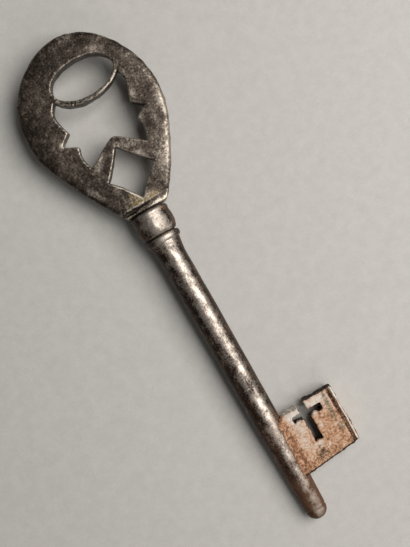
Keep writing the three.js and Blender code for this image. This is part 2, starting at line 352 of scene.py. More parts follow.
# Brazing brass run hot into a joint and never cleaned: nearly black, with yellow left only in its high spots.
BRAZING_SPELTER = WornSurface(
    name="brazing_spelter",
    coat=((0.30, "#17120d"), (0.60, "#3c2f1f"), (0.85, "#6b5731")),
    layers={"tint": "#8a7444", "rub": "#a08c58", "dirt": "#15110c"},
    grains={"speck": Grain(0.5, detail=5.0), "patch": Grain(1.6)},
    blends={
        "tone": Blend(-0.30, {"speck": 1.0, "patch": 0.5}),
        "tint": Blend(-1.10, {"speck": 2.0}),
        "rub": Blend(-2.10, {"speck": 2.6, "patch": 1.0}),
        "dirt": Blend(-0.30, {"patch": 0.8}),
        "metallic": Blend(0.6),
        "roughness": Blend(0.50),
    },
)

# The pale, faintly mottled card that the key lies on; it is matt and keeps the key's shadow.
PALE_CARD = WornSurface(
    name="pale_card",
    coat=((0.35, "#bdb9b2"), (0.65, "#c8c4bd")),
    layers={},
    grains={"speck": Grain(0.5), "patch": Grain(3.0)},
    blends={
        "tone": Blend(0.0, {"speck": 0.5, "patch": 0.5}),
        "metallic": Blend(0.0),
        "roughness": Blend(0.85),
    },
    relief_mm=0.02,
)


@dataclass(frozen=True)
class Placement:
    """Where the key lies in the frame, read from the boxes of its own nodes.

    Args:
        axis_x: X of the key's axis, in metres.
        seat_y: Y of the plane in which the bow sits, in metres.
        axis_z: Z of the key's axis, in metres.
    """

    axis_x: float
    seat_y: float
    axis_z: float

    @classmethod
    def read(cls) -> "Placement":
        """Reads the placement from the ring collar and the seam under the bow.

        Returns:
            The placement.
        """
        low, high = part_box("ring_collar")
        seam_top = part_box("bow_braze")[1]
        return cls((low.x + high.x) / 2, seam_top.y, (low.z + high.z) / 2)

    @property
    def frame_from_key(self) -> Matrix:
        """The matrix that takes key millimetres to frame metres."""
        return Matrix.Translation((self.axis_x, self.seat_y, self.axis_z)) @ Matrix.Scale(MM, 4)

    @property
    def key_from_frame(self) -> Matrix:
        """The matrix that takes frame metres to key millimetres."""
        return self.frame_from_key.inverted()

    @property
    def ring_foot_y(self) -> float:
        """The plane in which the ring sits on the shoulder of the shank, in key millimetres."""
        return (self.key_from_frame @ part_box("ring_collar")[0]).y


def lumps(size_mm: float, height_mm: float, seed: float, stretch: Triple = (1, 1, 1)) -> Depth:
    """Makes a field of soft dents and swellings.

    Args:
        size_mm: Distance from one swelling to the next.
        height_mm: Greatest height or depth.
        seed: Shift of the pattern, so that no two pieces are alike.
        stretch: How much longer the swellings are along each axis.

    Returns:
        The field.
    """
    shift = Vector((seed, seed * 1.7, seed * 0.6))
    scale = Vector([1 / (size_mm * s) for s in stretch])
    return lambda point: noise.noise(point * scale + shift) * height_mm


def pits(size_mm: float, depth_mm: float, share: float, seed: float) -> Depth:
    """Makes a field of separate round pits, such as old corrosion leaves.

    Args:
        size_mm: Size of the cells, each of which may hold one pit.
        depth_mm: Depth of the deepest pits.
        share: Share of the cells that hold a pit.
        seed: Shift of the pattern.

    Returns:
        The field, negative in the pits.
    """
    shift = Vector((seed * 0.8, seed, seed * 2.1))
    pit_reach = 0.42
    shallowest = 0.4

    def depth(point: Vector) -> float:
        """Finds the pit that a point lies in.

        Args:
            point: A point on the skin.

        Returns:
            The pit's depth there, negative, or 0 outside it.
        """
        distances, centres = noise.voronoi(point / size_mm + shift)
        pick = noise.cell(centres[0] * 7.3) * 0.5 + 0.5
        if pick > share:
            return 0.0
        return -depth_mm * hump(distances[0], pit_reach) * (shallowest + (1 - shallowest) * pick / share)

    return depth


def spot(place: Triple, reach: Triple, turn: float = 0.0, height: float = 1.0) -> Depth:
    """Makes a soft spot that is highest at its place and fades to 0 at its reach.

    Args:
        place: Middle of the spot, in key millimetres.
        reach: Half its size along each of its own axes.
        turn: Degrees that it is turned about Z, anticlockwise from the front.
        height: Its value in the middle.

    Returns:
        The field.
    """
    middle = Vector(place)
    scale = Vector([1 / r for r in reach])
    untwist = Matrix.Rotation(math.radians(-turn), 3, "Z")

    def strength(point: Vector) -> float:
        """Returns the spot's value at a point."""
        return height * max(0.0, 1 - ((untwist @ (point - middle)) * scale).length_squared) ** 1.5

    return strength


def mark(place: Pair, reach: Pair, turn: float = 0.0, height: float = 1.0) -> Depth:
    """Makes a spot that goes through a plate, so that it marks the front and the back alike."""
    through_mm = 9.0
    return spot((*place, 0), (*reach, through_mm), turn, height)


def strongest(*fields: Depth) -> Depth:
    """Makes a field that has the greatest of several at each point."""
    return lambda point: max(one(point) for one in fields)


def fade(value: float, start: float, end: float) -> float:
    """Returns 0 at the start and 1 at the end, with a soft passage between them."""
    share = min(1.0, max(0.0, (value - start) / (end - start)))
    return share * share * (3 - 2 * share)


def hump(away: float, reach: float) -> float:
    """Returns 1 in the middle of a round hump or hollow and 0 from its reach outwards."""
    return max(0.0, 1 - (away / reach) ** 2)


def handled_wear_and_painted_shade(point: Vector) -> float:
    """Returns how far a round part is rubbed bright, partly wear and partly painted light and shade.

    It is highest on the front and back and most on the bit side, towards the lamp. It falls on the sides,
    and on the side away from the lamp, as painted shade.

    Args:
        point: A point on the part, in key millimetres.

    Returns:
        The value, near 0 on its sides, where the dark patina stays and the shade is painted.
    """
    radius = math.hypot(point.x, point.z) + 0.01
    below_grip = 0.20 * fade(point.y, -25, -60)
    beside_bit = 0.10 * fade(point.y, -72, -92)
    # Painted shade: the sides and the side away from the lamp keep the dark patina.
    far_side_painted_shade = 0.50 * fade(-point.x / radius, 0.05, 0.50)
    front_wear_and_painted_side_shade = fade(abs(point.z) / radius, 0.50, 0.90)
    patchy = 0.35 * noise.noise(point / 2.2)
    return 0.05 + max(0.0, 0.85 - below_grip - beside_bit - far_side_painted_shade) * front_wear_and_painted_side_shade + patchy


class Skin:
    """The even, workable skin of one piece, in key millimetres."""

    # rounds of averaging that show its edges and hollows, and how strongly these count
    edge_rounds = 14
    edge_gain = 0.9

    def __init__(self, name: str, placement: Placement, voxel_mm: float) -> None:
        """Copies a node, welds it and gives it an even skin.

        Args:
            name: The CAD node.
            placement: Where the key lies in the frame.
            voxel_mm: Edge length of the even skin.
        """
        self.name = name
        self.placement = placement
        self.voxel_mm = voxel_mm
        self.traits: dict[Trait, Depth] = {}
        self.mesh = bpy.data.meshes.new(f"{name}_skin")
        welded = bmesh.new()
        welded.from_mesh(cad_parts[name].data)
        bmesh.ops.transform(welded, matrix=placement.key_from_frame, verts=welded.verts)
        bmesh.ops.remove_doubles(welded, verts=welded.verts, dist=WELD_MM)
        welded.to_mesh(self.mesh)
        welded.free()
        self._even_out()
        self.work = bmesh.new()
        self.work.from_mesh(self.mesh)

    def _even_out(self) -> None:
        """Replaces the welded copy by an even skin of small quads."""
        carrier = add_object(f"{self.name}_carrier", self.mesh)
        even = carrier.modifiers.new("even_skin", "REMESH")
        even.mode = "VOXEL"
        even.voxel_size = self.voxel_mm
        even.adaptivity = 0
        graph = bpy.context.evaluated_depsgraph_get()
        skin = bpy.data.meshes.new_from_object(carrier.evaluated_get(graph))
        bpy.data.objects.remove(carrier)
        bpy.data.meshes.remove(self.mesh)
        self.mesh = skin

    def round_edges(self, passes: int, where: Callable[[Vector], bool] | None = None) -> None:
        """Rounds edges a little, as wear does, by smoothing the skin.

        Args:
            passes: How often the skin is smoothed.
            where: Tells for a point whether it is smoothed; without it, all are.
        """
        chosen = [vert for vert in self.work.verts if where is None or where(vert.co)]
        for _ in range(passes):
            bmesh.ops.smooth_vert(
                self.work,
                verts=chosen,
                factor=0.5,
                use_axis_x=True,
                use_axis_y=True,
                use_axis_z=True,
            )

    def press(self, depth: Depth, walls_only: bool = False) -> None:
        """Moves each point along its normal by a field in millimetres.

        Args:
            depth: The field; a negative value presses inwards.
            walls_only: Whether only walls that stand across the flat faces are moved.
        """
        self.work.normal_update()
        flat = 0.05
        moves = []
        for vert in self.work.verts:
            share = 1 - abs(vert.normal.z) if walls_only else 1
            if share > flat:
                moves.append((vert, vert.normal * depth(vert.co) * share))
        for vert, move in moves:
            vert.co += move

    def push(self, shift: Shift) -> None:
        """Moves each point by a vector field in millimetres."""
        for vert in self.work.verts:
            vert.co += shift(vert.co)

    def _edge_traits(self) -> dict[Trait, np.ndarray]:
        """Finds how far each point stands proud of the skin round it, or lies in a hollow.

        Returns:
            The values from 0 to 1 for each point.
        """
        count = len(self.mesh.vertices)
        places = np.empty(count * 3)
        normals = np.empty(count * 3)
        self.mesh.vertices.foreach_get("co", places)
        self.mesh.vertices.foreach_get("normal", normals)
        places, normals = places.reshape(-1, 3), normals.reshape(-1, 3)
        ends = np.empty(len(self.mesh.edges) * 2, dtype=np.int32)
        self.mesh.edges.foreach_get("vertices", ends)
        first, second = ends.reshape(-1, 2).T
        neighbours = np.bincount(first, minlength=count) + np.bincount(second, minlength=count)
        average = places.copy()
        for _ in range(self.edge_rounds):
            for axis in range(3):
                column = average[:, axis]
                total = np.bincount(first, weights=column[second], minlength=count)
                total += np.bincount(second, weights=column[first], minlength=count)
                average[:, axis] = total / neighbours
        height = ((places - average) * normals).sum(axis=1) / self.voxel_mm * self.edge_gain
        return {Trait.PROUD: np.clip(height, 0, 1), Trait.SUNK: np.clip(-height, 0, 1)}

    def finish(self, material: Material) -> Object:
        """Turns the skin into the finished piece that stands for its node.

        Args:
            material: The finish of the piece.

        Returns:
            The piece, at the origin, with its place in its mesh.
        """
        bmesh.ops.recalc_face_normals(self.work, faces=self.work.faces)
        for face in self.work.faces:
            face.smooth = True
        self.work.to_mesh(self.mesh)
        values = self._edge_traits()
        for trait, value in self.traits.items():
            values[trait] = np.array([value(vert.co) for vert in self.work.verts]).clip(0, 1)
        self.work.free()
        self.mesh.transform(self.placement.frame_from_key)
        for trait, numbers in values.items():
            stored = self.mesh.attributes.new(trait.value, "FLOAT", "POINT")
            stored.data.foreach_set("value", numbers.astype(np.float32))
        self.mesh.name = f"{self.name}_worn"
        self.mesh.materials.clear()
        self.mesh.materials.append(material)
        piece = add_object(f"{self.name}_worn", self.mesh)
        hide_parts(self.name)
        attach(piece, BODY)
        log.info("%s: %d faces", piece.name, len(self.mesh.polygons))
        return piece


class OuterEdge:
    """The bow's outer edge, found from its skin, for shaping by the distance in from it."""

    def __init__(self, work: bmesh.types.BMesh, centre: Vector, directions: int = 120) -> None:
        """Finds the farthest point of the skin in each direction.

        Args:
            work: The bow's skin.
            centre: A point inside the edge, from which all of it is seen.
            directions: How many directions are looked in.
        """
        self.centre = centre
        self.directions = directions
        self.radii = [0.0] * directions
        for vert in work.verts:
            share, radius = self._polar(vert.co)
            number = round(share) % directions
            self.radii[number] = max(self.radii[number], radius)

    def _polar(self, point: Vector) -> tuple[float, float]:
        """Returns a point's direction, counted in steps, and its distance from the centre."""
        away = (point - self.centre).to_2d()
        return math.atan2(away.y, away.x) / math.tau % 1 * self.directions, away.length

    def inwards(self, point: Vector) -> float:
        """Finds roughly how far in from the outer edge a point lies.

        Args:
            point: A point on the skin.

        Returns:
            The distance in millimetres.
        """
        share, radius = self._polar(point)
        step, part = int(share), share % 1
        here = self.radii[step % self.directions]
        there = self.radii[(step + 1) % self.directions]
        return here * (1 - part) + there * part - radius


@dataclass
class Bow:
    """The flat pierced plate that the hand turns, with its foot lip and cove.

    Hands and pockets have rounded it: its faces fall away towards the outer edge, and its right limb, its
    rims and its foot are rubbed bright. Its side towards the lamp is painted lighter, and the brightness of
    its right limb and lip is partly a painted highlight.
    """

    placement: Placement
    voxel_mm: float = 0.21
    rounding: int = 3
    half_thickness: float = 2.2
    centre: Triple = (0.4, 31.0, 0.0)
    dome_reach: float = 5.0
    dome_depth: float = 0.55
    dome_foot: Pair = (3.5, 9.0)
    lip_top: float = 1.15
    lip_top_right: float = 2.95
    lip_half_width: float = 6.5
    lip_middle: float = 1.0
    lip_end: float = 8.2
    lip_drop: float = 0.75

    def build(self, iron: Material) -> Object:
        """Builds the worn bow.

        Args:
            iron: Its finish.

        Returns:
            The finished piece.
        """
        skin = Skin("bow", self.placement, self.voxel_mm)
        skin.round_edges(self.rounding)
        skin.push(self.dome(OuterEdge(skin.work, Vector(self.centre))))
        skin.push(self.fill_cove)
        skin.push(self.round_lip)
        skin.press(lumps(11.0, 0.16, seed=3.1))
        skin.press(lumps(3.4, 0.06, seed=8.4))
        skin.press(lumps(2.4, 0.22, seed=2.7), walls_only=True)
        wavy_edge = spot((-2.5, 8.0, 0), (5.0, 2.4, 4.0), turn=-50)
        waves = lumps(1.9, 0.55, seed=4.2)
        skin.press(lambda point: wavy_edge(point) * waves(point), walls_only=True)
        nick = spot((2.8, 55.4, 1.9), (0.5, 1.8, 1.4), turn=35)
        skin.press(lambda point: -0.25 * nick(point))
        skin.press(pits(1.3, 0.12, 0.35, seed=1.3))
        skin.round_edges(1)
        # The worn trait paints the side towards the lamp lighter; the pale trait paints highlights on the lip
        # and right rim.
        skin.traits[Trait.WORN_AND_PAINTED_LIGHT] = self.wear()
        skin.traits[Trait.BRASS] = self.spelter_traces()
        skin.traits[Trait.PALE_AND_PAINTED_HIGHLIGHT] = self.bare_edges_and_painted_highlight()
        return skin.finish(iron)

    def dome(self, edge: OuterEdge) -> Shift:
        """Makes the shift that lets both faces fall away towards the outer edge.

        Args:
            edge: The outer edge of the bow.

        Returns:
            The shift.
        """

        def shift(point: Vector) -> Vector:
            """Returns the shift of one point."""
            share = max(0.0, 1 - edge.inwards(point) / self.dome_reach) ** 2 * fade(point.y, *self.dome_foot)
            return Vector((0, 0, -point.z * share * self.dome_depth / self.half_thickness))

        return shift

    def fill_cove(self, point: Vector) -> Vector:
        """Lets the cove run out towards the bit side, where the lip grows broad.

        Args:
            point: A point on the skin.

        Returns:
            Its shift.
        """
        across = fade(point.x, -self.lip_half_width, self.lip_half_width)
        top = self.lip_top + (self.lip_top_right - self.lip_top) * across
        in_lip = (1 - fade(point.y, top - 0.35, top + 0.1)) * fade(point.y, 0.3, 0.9)
        hollow = max(0.0, self.half_thickness - abs(point.z)) * fade(abs(point.z), 1.2, 1.5)
        return Vector((0, 0, math.copysign(hollow * in_lip, point.z)))

    def round_lip(self, point: Vector) -> Vector:
        """Rounds the lip over towards its end on the bit side.

        Args:
            point: A point on the skin.

        Returns:
            Its shift.
        """
        out = max(0.0, (point.x - self.lip_middle) / (self.lip_end - self.lip_middle)) ** 2
        share = out * (1 - fade(point.y, 1.9, 4.5))
        return Vector((0, 0, -point.z * share * self.lip_drop / self.half_thickness))

    def wear(self) -> Depth:
        """Makes the field of where the bow is rubbed bright on its front and back, with painted light on the
        side towards the lamp.

        Returns:
            The field.
        """
        marks = strongest(
            # right limb, partly painted highlight
            mark((17.1, 42.5), (2.2, 3.4), turn=35, height=0.55),
            mark((19.6, 34.0), (1.6, 4.5), height=0.45),
            mark((19.6, 26.0), (2.0, 8.0), turn=-8, height=0.9),
            mark((15.0, 23.2), (2.6, 3.6), height=0.45),
            mark((15.2, 14.0), (2.4, 12.0), turn=-30),
            mark((12.5, 12.5), (5.5, 9.0), turn=-30, height=0.6),
            # top
            mark((9.5, 48.2), (3.6, 1.6), turn=-20),
            mark((3.5, 54.8), (4.0, 1.9), turn=10),
            mark((13.0, 50.0), (4.0, 1.8), turn=-25, height=0.5),
            # left limb
            mark((-11.8, 28.2), (2.0, 1.6)),
            mark((-10.6, 11.4), (1.6, 5.2), turn=33, height=1.4),
            # round the openings
            mark((6.6, 15.6), (3.4, 1.3), turn=-48),
            mark((-5.0, 18.5), (1.8, 4.5), turn=-38),
            mark((3.5, 20.1), (1.8, 4.5), turn=60, height=0.8),
            mark((13.2, 31.5), (1.6, 2.2)),
            mark((12.0, 25.0), (2.0, 2.0)),
            # foot and lip, partly painted highlight
            mark((1.0, 4.2), (7.5, 2.2)),
            mark((5.5, 1.0), (6.0, 1.2), height=1.5),
            mark((-0.8, 7.1), (1.1, 4.2), turn=33, height=2.2),
            mark((1.0, 2.9), (8.0, 0.6), height=1.3),
        )
        broad = lumps(9.0, 0.35, seed=6.1)
        # The broad rise towards +X paints the side towards the lamp lighter.
        return lambda point: marks(point) + 0.20 * fade(point.x, -6, 12) + broad(point)

    def bare_edges_and_painted_highlight(self) -> Depth:
        """Returns where an edge is rubbed down to bare metal.

        On the lip's end on the bit side and on the right rim it is partly a painted highlight.
        """
        return strongest(
            spot((5.4, 0.8, 1.5), (5.0, 0.9, 4), height=1.4),
            spot((-0.8, 7.1, 2.0), (0.8, 3.6, 4), turn=33),
            spot((-3.8, 10.2, 2.0), (0.7, 3.0, 4), turn=44, height=0.8),
            spot((16.4, 13.0, 1.0), (1.6, 11.0, 4), turn=-30, height=0.7),
            spot((-6.6, 41.0, 2.0), (0.7, 3.4, 4), turn=-8, height=0.6),
        )

    def spelter_traces(self) -> Depth:
        """Returns where spelter ran up from the joint at the foot of the bow."""
        return strongest(
            spot((1.0, 3.6, 1.5), (8.0, 1.9, 4), height=1.3),
            spot((-0.4, 5.8, 1.5), (3.4, 2.4, 4)),
            spot((-0.8, 7.1, 1.5), (1.2, 4.0, 4), turn=33, height=0.8),
            spot((9.6, 48.0, 1.5), (3.0, 1.2, 4), turn=-20, height=0.6),
            spot((-16.4, 41.4, 1.5), (1.2, 1.8, 4), height=0.45),
            spot((-11.7, 41.0, 1.5), (1.4, 2.6, 4), height=0.45),
        )


@dataclass
class Collar:
    """The bulb and the ring between bow and shank, filed round by hand."""

    placement: Placement
    bulb_voxel_mm: float = 0.17
    ring_voxel_mm: float = 0.14
    seat_band: float = 0.45
    seat_gap: float = 0.26
    foot_reach: float = 0.6
    foot_taper: float = 0.03
    crown_start: float = -2.2
    crown_end: float = -0.6
    crown_spread: float = 0.10
    crown_rise: float = 0.30

    def build(self, iron: Material) -> list[Object]:
        """Builds the bulb and the ring.

        Args:
            iron: Their finish.

        Returns:
            Both pieces.
        """
        bulb = Skin("bulb_collar", self.placement, self.bulb_voxel_mm)
        bulb.round_edges(4)
        bulb.push(self.raise_crown)
        bulb.press(lumps(4.0, 0.14, seed=5.5))
        bulb.press(lumps(1.3, 0.08, seed=2.5))
        bulb.press(pits(1.2, 0.04, 0.15, seed=6.2))
        bulb.round_edges(1)
        # The worn trait paints shade on the sides and the far side; the pale trait paints a highlight towards
        # the lamp.
        bulb.traits[Trait.WORN_AND_PAINTED_LIGHT] = handled_wear_and_painted_shade
        bulb.traits[Trait.PALE_AND_PAINTED_HIGHLIGHT] = self.satin_and_painted_highlight
        bulb.traits[Trait.RUST] = strongest(
            spot((4.6, -1.4, 3.0), (1.4, 1.2, 2.5), height=0.8),
            spot((5.4, -6.3, 2.4), (1.2, 0.8, 2.5), height=0.6),
        )
        ring = Skin("ring_collar", self.placement, self.ring_voxel_mm)
        foot = self.placement.ring_foot_y
        ring.round_edges(3, where=lambda point: point.y > foot + self.seat_band)
        ring.push(lambda point: self.close_foot(point, fade(point.y, foot + self.foot_reach, foot)))
        ring.press(lumps(3.0, 0.08, seed=7.7))
        ring.press(pits(1.0, 0.06, 0.25, seed=2.9))
        # The worn trait paints shade on the sides and the far side; the pale trait paints a highlight towards
        # the lamp.
        ring.traits[Trait.WORN_AND_PAINTED_LIGHT] = handled_wear_and_painted_shade
        ring.traits[Trait.PALE_AND_PAINTED_HIGHLIGHT] = self.satin_and_painted_highlight
        return [bulb.finish(iron), ring.finish(iron)]

    def close_foot(self, point: Vector, share: float) -> Vector:
        """Returns the shift that brings the foot of the ring flush onto the flare of the shank."""
        return Vector((-self.foot_taper * point.x, -self.seat_gap, -self.foot_taper * point.z)) * share

    def satin_and_painted_highlight(self, point: Vector) -> float:
        """Returns how far the collar is dulled and brightened beyond the shank, partly as painted light.

        It is most on the bit side, towards the lamp, as a painted highlight, and falls to painted shade on
        the far side and, by half, at the limb on the bit side.
        """
        limb_painted_shade = fade(point.x, 3.6, 5.0)
        return fade(point.x, -3.5, 1.0) * (1 - 0.5 * limb_painted_shade)

    def raise_crown(self, point: Vector) -> Vector:
        """Brings the top of the bulb close up under the lip of the bow.

        Args:
            point: A point on the skin.

        Returns:
            Its shift.
        """
        share = fade(point.y, self.crown_start, self.crown_end)
        out = Vector((point.x, 0, point.z)) * self.crown_spread * share
        return out + Vector((0, self.crown_rise * share, 0))


@dataclass
class Shank:
    """The solid tapering pin with its domed tip."""

    placement: Placement
    voxel_mm: float = 0.22
    seat_band: float = 0.5
    file_mark_pitch: float = 0.85
    file_mark_depth: float = 0.014
    file_mark_middle: float = -88.0
    file_mark_reach: float = 5.0

    def build(self, polished: Material) -> Object:
        """Builds the worn shank.

        Args:
            polished: Its finish.

        Returns:
            The finished piece.
        """
        skin = Skin("shank", self.placement, self.voxel_mm)
        shoulder = self.placement.ring_foot_y
        skin.round_edges(3, where=lambda point: point.y < shoulder - self.seat_band)
        skin.press(lumps(9.0, 0.12, seed=9.2, stretch=(1, 1.6, 1)))
        skin.press(lumps(2.6, 0.045, seed=3.9, stretch=(1, 1.8, 1)))
        skin.press(pits(1.5, 0.09, 0.22, seed=4.8))
        skin.press(self.file_marks)
        # The worn trait is wear with painted shade on the sides and on the side away from the lamp.
        skin.traits[Trait.WORN_AND_PAINTED_LIGHT] = handled_wear_and_painted_shade
        skin.traits[Trait.RUST] = self.rust
        return skin.finish(polished)

    def file_marks(self, point: Vector) -> float:
        """Finds the shallow marks that a file left across the shank beside the bit.

        Args:
            point: A point on the skin.

        Returns:
            Their depth in millimetres.
        """
        reach = max(0.0, 1 - abs(point.y - self.file_mark_middle) / self.file_mark_reach)
        swing = 0.3 * noise.noise(point / 2.0)
        return self.file_mark_depth * reach * math.sin(math.tau * (point.y / self.file_mark_pitch + swing))

    def rust(self, point: Vector) -> float:
        """Finds the rust that spreads onto the shank from the bit.

        Args:
            point: A point on the skin.

        Returns:
            How thick it is.
        """
        near_bit = fade(point.y, -66, -74)
        on_bit_side = fade(point.x, 0.5, 3.4)
        on_tail = 0.7 * fade(point.y, -86, -96)
        patchy = 0.25 * noise.noise(point / 3.0)
        return near_bit * (0.25 + 0.75 * max(on_bit_side, on_tail)) + patchy


@dataclass
class Bit:
    """The plate that passes the wards, with its slot, cross arms, fold and ridge."""

    placement: Placement
    voxel_mm: float = 0.16
    half_thickness: float = 2.75
    groove_x: float = 18.0
    groove_width: float = 0.85
    groove_depth: float = 0.10
    fold_x: float = 19.75
    fold_width: float = 0.90
    crest_x: float = 20.80
    crest_width: float = 0.40
    slot_middle: Triple = (10.9, -77.0, 0.0)
    slot_reach: float = 7.2
    foot_y: float = -90.38
    foot_slope: float = 0.1075

    def build(self, rusted: Material) -> Object:
        """Builds the worn bit.

        Args:
            rusted: Its finish.

        Returns:
            The finished piece.
        """
        skin = Skin("bit", self.placement, self.voxel_mm)
        skin.round_edges(3)
        skin.push(self.sharpen_ridge)
        skin.push(self.kink)
        skin.press(lumps(6.0, 0.12, seed=2.2))
        skin.press(lumps(1.5, 0.05, seed=6.6))
        skin.press(lumps(1.7, 0.42, seed=9.4), walls_only=True)
        skin.press(lumps(0.7, 0.28, seed=1.9), walls_only=True)
        skin.press(self.burr, walls_only=True)
        skin.press(pits(1.0, 0.20, 0.3, seed=5.1))
        skin.press(lambda point: -self.groove_depth * self.groove(point))
        skin.round_edges(2)
        # Rust, pale and stain also carry painted shade and highlights on the fold, crest, burrs and slot.
        skin.traits[Trait.RUST] = self.rust
        skin.traits[Trait.PALE_AND_PAINTED_HIGHLIGHT] = self.pale
        skin.traits[Trait.STAIN_AND_PAINTED_SHADE] = self.stain_and_painted_shade
        skin.traits[Trait.BRASS] = self.olive
        return skin.finish(rusted)

    @cached_property
    def burr(self) -> Depth:
        """The stubs of metal that the chisel left in the cross arms and at the slot's foot."""
        return strongest(
            spot((7.9, -75.6, 1.8), (1.4, 1.1, 1.8), height=0.9),
            spot((13.5, -75.3, 1.8), (1.4, 1.0, 1.8), height=1.0),
            spot((10.6, -83.2, 1.8), (1.4, 0.9, 1.6), height=0.7),
        )

    @cached_property
    def knock(self) -> Depth:
        """Where a blow has bent the ridge."""
        return spot((self.crest_x, -81.0, 0), (1.6, 2.0, 6))

    @cached_property
    def rubbed(self) -> Depth:
        """Where the faces, the teeth's ends and the edges of the slot are rubbed down to pale metal.

        The two marks on the burrs in the cross arms are painted light.
        """
        return strongest(
            mark((6.6, -72.6), (3.4, 2.0)),
            mark((14.8, -71.9), (4.4, 1.7)),
            mark((12.9, -71.8), (1.2, 1.4)),
            mark((7.6, -79.2), (2.4, 6.5), height=0.55),
            mark((10.4, -83.4), (2.2, 0.8)),
            mark((13.4, -77.4), (0.9, 4.4), height=0.6),
            mark((19.0, -74.0), (0.5, 4.0), height=0.7),
            # These two marks on the burrs in the cross arms are painted light.
            mark((7.8, -75.3), (1.0, 0.7), height=0.5),
            mark((13.5, -75.0), (1.0, 0.7), height=0.5),
        )

    @cached_property
    def dark_patch(self) -> Depth:
        """Where the metal below the slot is stained dark, most on the front."""
        return spot((9.9, -86.6, 3), (2.6, 4.0, 9), turn=-12, height=0.40)

    @cached_property
    def oiled(self) -> Depth:
        """Where old oil lies on the front: at the outer foot and below the slot."""
        return strongest(
            spot((18.9, -82.3, 3), (1.6, 2.2, 4), height=0.8),
            spot((10.2, -86.4, 3), (3.2, 4.0, 4), turn=-12, height=0.5),
        )

    def sharpen_ridge(self, point: Vector) -> Vector:
        """Wears both flanks of the ridge down to a narrow crest.

        Args:
            point: A point on the skin.

        Returns:
            Its shift.
        """
        raised = max(0.0, abs(point.z) - self.half_thickness + 0.1)
        out = point.x - self.crest_x
        inner = 0.7 * fade(out, -0.05, -0.5)
        outer = 0.6 * fade(out, 0.1, 0.45)
        within = fade(out, -0.75, -0.5)
        return Vector((0, 0, -math.copysign(raised * max(inner, outer) * within, point.z)))

    def kink(self, point: Vector) -> Vector:
        """Returns the shift of the ridge, which a blow has bent outwards below its middle."""
        return Vector((0.30, 0, -0.22 * math.copysign(1, point.z))) * self.knock(point)

    def on_face(self, point: Vector) -> float:
        """Returns 1 on the two faces and 0 on the walls between them."""
        return fade(abs(point.z), self.half_thickness - 0.75, self.half_thickness - 0.15)

    def groove(self, point: Vector) -> float:
        """Finds the shallow scribed groove that runs down the front beside the fold and dies out.

        Args:
            point: A point on the skin.

        Returns:
            Its depth, as a share of the full one.
        """
        along = fade(point.y, -86.0, -77.0) * (0.7 + 0.6 * noise.noise(Vector((point.y / 1.6, 3.3, 0))))
        bend = 0.03 * (point.y + 71) + 0.2 * noise.noise(Vector((point.y / 3, 7.1, 0)))
        away = point.x - self.groove_x - max(-0.45, bend)
        return along * hump(away, self.groove_width) * fade(point.z, 0.5, 2.0)

    def rust(self, point: Vector) -> float:
        """Finds the rust: least at the top of the teeth, most at the root and at the outer foot, with painted
        shade in the fold.

        Args:
            point: A point on the skin.

        Returns:
            How thick it is.
        """
        down = fade(point.y, -70.5, -80)
        out = fade(point.x, 6, 15)
        root = 1 - fade(point.x, 3.8, 5.6)
        inner_foot = 0.22 * fade(point.y, -83, -89) * (1 - fade(point.x, 9, 14))
        # The fold term is painted shade beside the ridge, not rust.
        local = max(0.7 * root, self.fold(point), inner_foot)
        return 0.10 + 0.32 * down + 0.18 * out + local + 0.3 * noise.noise(point / 3.2)

    def pale(self, point: Vector) -> float:
        """Finds where pale metal shows through the rust in rubbed places, and the painted highlight along the
        broken crest.

        Args:
            point: A point on the skin.

        Returns:
            How bare it is.
        """
        on_inner_wall = point.x < self.slot_middle[0] and self.on_face(point) < 0.5
        if on_inner_wall:
            return 0.9 * fade(point.y, -72.0, -71.4)
        # Painted highlight along the crest of the ridge, broken by noise.
        crest = max(0.0, 1 - abs(point.x - self.crest_x) / self.crest_width)
        crest *= 1 - 0.8 * fade(noise.noise(Vector((0, point.y / 2.6, 1.7))), 0.0, 0.3)
        raised = fade(abs(point.z), self.half_thickness, self.half_thickness + 0.3)
        return max(self.rubbed(point), 2.2 * crest * raised)

    def stain_and_painted_shade(self, point: Vector) -> float:
        """Finds the dark stains below the slot, and painted shade in the slot, on a tooth's end, along the
        fold and on the outer flank, and the darkening along the foot.

        Args:
            point: A point on the skin.

        Returns:
            How dark it is.
        """
        # Painted shade on the walls that face away from the lamp: a tooth's end, the slot and the outer
        # flank.
        tooth_end_painted_shade = 1.3 * fade(point.y, -71.3, -70.9) * fade(point.x, 11.5, 12.5)
        away = (point - Vector(self.slot_middle)) / self.slot_reach
        slot_painted_shade = 0.8 * fade(1 - away.length_squared, 0.0, 0.2) * fade(point.y, -70.8, -72.0)
        # The burrs are kept free of the painted shade.
        slot_painted_shade *= 1 - min(1.0, 2 * self.burr(point))
        outer_flank_painted_shade = 0.7 * fade(point.x - self.crest_x, 0.2, 0.4) * fade(abs(point.z), 1.2, 2.4)
        walls = (1 - self.on_face(point)) * max(tooth_end_painted_shade, slot_painted_shade)
        # Darker along the foot edge, most on the faces.
        foot_line = self.foot_y + self.foot_slope * point.x
        foot = fade(point.y - foot_line, 0.75, 0.25) * (0.5 + 0.8 * self.on_face(point))
        return max(self.dark_patch(point), 0.55 * self.fold(point), walls, outer_flank_painted_shade, foot)

    def fold(self, point: Vector) -> float:
        """Returns the painted shade of the fold beside the ridge, a dark brown band broad at the top and thin
        at the foot.
        """
        width = self.fold_width * (0.42 + 0.22 * fade(point.y, -82, -74))
        return hump(point.x - self.fold_x, width)

    def olive(self, point: Vector) -> float:
        """Finds where old oil has gone olive: in the groove, at the foot and on the inner tooth's end.

        Args:
            point: A point on the skin.

        Returns:
            How olive it is.
        """
        inner_end = fade(point.y, -71.9, -71.4) * (1 - fade(point.x, 9.5, 10.5)) * (1 - self.on_face(point))
        return max(0.4 * inner_end, 1.3 * self.groove(point), self.oiled(point))


